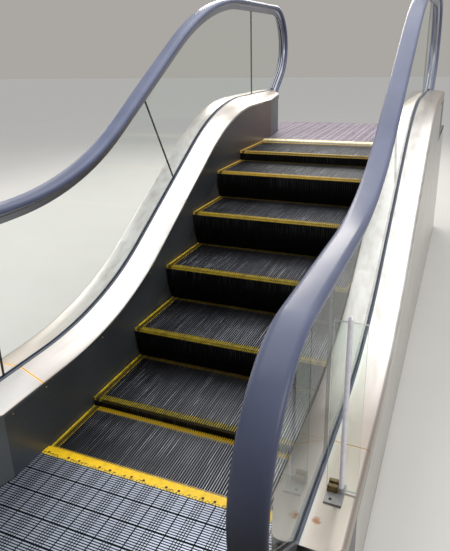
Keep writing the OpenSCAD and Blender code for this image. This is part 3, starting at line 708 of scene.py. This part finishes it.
def clear_pane(name, tint, haze, edge, facing):
    """Clear sheet: see-through, with a sheen that grows at grazing angles, and darker edges."""
    pane = Finish(name, base_color=edge, roughness=0.25, metallic=0.0)
    marks = pane.levels(pane.grain((9, 7, 9), 5), 0.5, 0.8)
    sheen = pane.node("Fresnel", {}, {"IOR": 1.45})
    through = pane.node("BsdfTransparent", {}, {"Color": tint})
    gloss = pane.node("BsdfGlossy", {}, {"Color": (0.95, 0.97, 0.97), "Roughness": 0.03})
    outside = 1 - pane.node("NewGeometry", output="Backfacing")
    sheet = pane.node("MixShader", {}, {0: outside * (sheen * 0.9 + marks * haze), 1: through, 2: gloss})
    normal = pane.node("SeparateXYZ", {}, {"Vector": pane.node("TexCoord", output="Normal")}, facing)
    ground_edge = (abs(normal) < 0.5) * 0.8
    solid = Signal(pane, pane.shader.outputs[0])
    whole = pane.node("MixShader", {}, {0: ground_edge, 1: sheet, 2: solid})
    pane.tree.links.new(whole.socket, pane.tree.nodes["Material Output"].inputs["Surface"])
    return pane


clothe(
    clear_pane("clear_glass", (0.975, 0.99, 0.98), 0.02, (0.03, 0.055, 0.05), "X"),
    "left_glass_panels",
    "right_glass_panels",
)
seals = bmesh.new()
for x in (-PANE_X, PANE_X):
    for y, foot, length, lean in SEALS:
        place = Matrix.Translation((x, y, foot)) @ Matrix.Rotation(math.radians(lean), 4, "X")
        middle = place @ Matrix.Translation((0, 0, length / 2))
        bmesh.ops.create_cube(seals, size=1, matrix=middle @ Matrix.Diagonal((*SEAL_SIZE, length, 1)))
add_piece("glass_joint_seals", seals, collar_rubber)


# Handrail guides and handrails.
# The guide is a stainless profile along the glass edge. The belt is polished blue-grey
# rubber on fabric, and it dives through a black collar into each newel base.


def belt_rubber():
    belt = Finish("belt_rubber", coat_roughness=0.22, specular_ior_level=0.15)
    wipe = belt.levels(belt.grain((6, 5, 6), 5), 0.38, 0.72)
    fine = belt.grain((420, 420, 420), 2)
    # Polish and painted light: low down, as round the newels, the belt is painted dark as if in shade. Higher
    # up it is lighter and glossier, partly rubbed by hands.
    polish_and_painted_light = belt.levels(belt.axis("Z"), 0.7, 1.1)
    shaded_low_part = belt.blend(wipe, (0.004, 0.005, 0.01), (0.009, 0.011, 0.02))
    rubbed = belt.blend(wipe, (0.1, 0.118, 0.2), (0.13, 0.15, 0.24))
    return belt.wear(
        base_color=belt.blend(polish_and_painted_light, shaded_low_part, rubbed),
        roughness=0.34 + 0.12 * wipe,
        coat_weight=0.03 + 0.35 * polish_and_painted_light,
        normal=belt.bump(fine, 0.1, 0.0002),
    )


belt = belt_rubber()
for side in ("left", "right"):
    smoothed(f"{side}_handrail", belt, 0.7)
guide_steel = brushed_steel("guide_steel", (0.42, 0.43, 0.48), (0.28, 0.29, 0.33), 0.26)
smoothed("handrail_guides", guide_steel, 0.5)


# Barrier on the right lower newel base.
# A clear plate gripped by a browned clip, with a slim pale post beside it, keeps things
# from sliding up along the deck. Two screws hold the clip's foot.

CLIP_TOP = 0.3954
JAW_HEIGHT = 0.0185
JAW_EDGE = Vector((0.6838, -1.5965))
CLIP_SCREWS = ((0.669, -1.6215), (0.6935, -1.571))
CLIP_SCREW = (0.0045, 0.0012)


def clip_bronze():
    clip = Finish("clip_bronze")
    tarnish = clip.levels(clip.grain((90, 90, 90), 5), 0.4, 0.65)
    low = clip.axis("Z") < CLIP_TOP + JAW_HEIGHT
    inner = clip.axis("X") < JAW_EDGE.x
    jaws = low * inner * (clip.axis("Y") > JAW_EDGE.y)
    bare = clip.blend(tarnish * 0.4, (0.74, 0.72, 0.79), (0.58, 0.57, 0.63))
    bare = clip.blend(low * 0.9, bare, (0.2, 0.2, 0.195))
    brown = clip.blend(tarnish, (0.09, 0.055, 0.02), (0.19, 0.125, 0.05))
    return clip.wear(
        base_color=clip.blend(jaws, bare, brown),
        roughness=0.3 + 0.2 * tarnish,
        metallic=0.4 + 0.05 * jaws,
    )


clothe(clear_pane("clear_acrylic", (0.94, 0.97, 0.95), 0.1, (0.3, 0.33, 0.33), "Y"), "barrier_plate")
clothe(clip_bronze(), "barrier_post")
seats = [((*place, CLIP_TOP), (0, 0, 1)) for place in CLIP_SCREWS]
screw_heads("clip_screws", screw_brown, "guide_steel", seats, *CLIP_SCREW)


# Studio round the escalator: a pale floor, a soft sky and four soft lights.
# The camera stands at the foot on the right and looks up the incline, as in the photograph.

FLOOR_REACH = 30
PHOTO_HEIGHT_PX = 551
FOCAL_PX = 557.33
SHIFT_PX = -25.55
SENSOR_MM = 36

plane = bmesh.new()
bmesh.ops.create_grid(plane, x_segments=1, y_segments=1, size=FLOOR_REACH)
floor_mesh = bpy.data.meshes.new("studio_floor")
plane.to_mesh(floor_mesh)
plane.free()
studio_floor = bpy.data.objects.new("studio_floor", floor_mesh)
bpy.context.scene.collection.objects.link(studio_floor)
pale = Finish("pale_floor", roughness=0.8)
pale.wear(base_color=pale.blend(pale.grain((2, 2, 2), 3), (0.56, 0.55, 0.53), (0.6, 0.59, 0.57)))
floor_mesh.materials.append(pale.material)

world = bpy.data.worlds.new("studio")
bpy.context.scene.world = world
world.use_nodes = True
sky = world.node_tree.nodes
height = sky.new("ShaderNodeSeparateXYZ")
world.node_tree.links.new(sky.new("ShaderNodeTexCoord").outputs["Generated"], height.inputs["Vector"])
ramp = sky.new("ShaderNodeMapRange")
for name, value in (("From Min", 0.1), ("From Max", 0.75), ("To Min", 0.42), ("To Max", 0.85)):
    ramp.inputs[name].default_value = value
world.node_tree.links.new(height.outputs["Z"], ramp.inputs["Value"])
world.node_tree.links.new(ramp.outputs["Result"], sky["Background"].inputs["Strength"])
tone = sky.new("ShaderNodeMix")
tone.data_type = "RGBA"
tone.inputs[6].default_value = (0.97, 0.92, 0.86, 1)
tone.inputs[7].default_value = (0.94, 0.97, 1.0, 1)
world.node_tree.links.new(height.outputs["Z"], tone.inputs[0])
world.node_tree.links.new(tone.outputs[2], sky["Background"].inputs["Color"])


def soft_light(name, place, target, size, power, colour):
    lamp = bpy.data.lights.new(name, "AREA")
    lamp.shape, lamp.size, lamp.size_y = "RECTANGLE", *size
    lamp.energy, lamp.color = power, colour
    holder = bpy.data.objects.new(name, lamp)
    bpy.context.scene.collection.objects.link(holder)
    holder.location = place
    holder.rotation_euler = (Vector(target) - Vector(place)).to_track_quat("-Z", "Y").to_euler()


soft_light("ceiling_softbox", (0, 0.6, 4.8), (0, 0.4, 0), (4.5, 6.5), 150, (1, 0.98, 0.95))
soft_light("side_softbox", (5.0, -2.5, 3.2), (0, 0, 0.7), (3.0, 2.0), 80, (1, 0.99, 0.97))
soft_light("left_softbox", (-4.6, 0.4, 2.6), (0, 0.2, 0.7), (4.5, 1.6), 50, (1, 0.98, 0.95))
soft_light("far_softbox", (-1.5, 5.5, 3.4), (0, 0.5, 0.9), (3.5, 1.6), 120, (1, 0.96, 0.9))

eye = Vector((0.88976, -2.81772, 1.5384))
yaw, pitch, roll = 0.4032, -0.3427, -0.0247
look = Vector((-math.sin(yaw) * math.cos(pitch), math.cos(yaw) * math.cos(pitch), math.sin(pitch)))
level = Vector((math.cos(yaw), math.sin(yaw), 0))
up = level.cross(look)
right = math.cos(roll) * level + math.sin(roll) * up
above = -math.sin(roll) * level + math.cos(roll) * up
lens = bpy.data.cameras.new("photo_camera")
lens.sensor_width = SENSOR_MM
lens.lens = FOCAL_PX * SENSOR_MM / PHOTO_HEIGHT_PX
lens.shift_y = SHIFT_PX / PHOTO_HEIGHT_PX
lens.clip_start, lens.clip_end = 0.05, 100
camera = bpy.data.objects.new("photo_camera", lens)
bpy.context.scene.collection.objects.link(camera)
camera.matrix_world = Matrix.Translation(eye) @ Matrix((right, above, -look)).transposed().to_4x4()
bpy.context.scene.camera = camera
bpy.context.scene.view_settings.view_transform = "Standard"
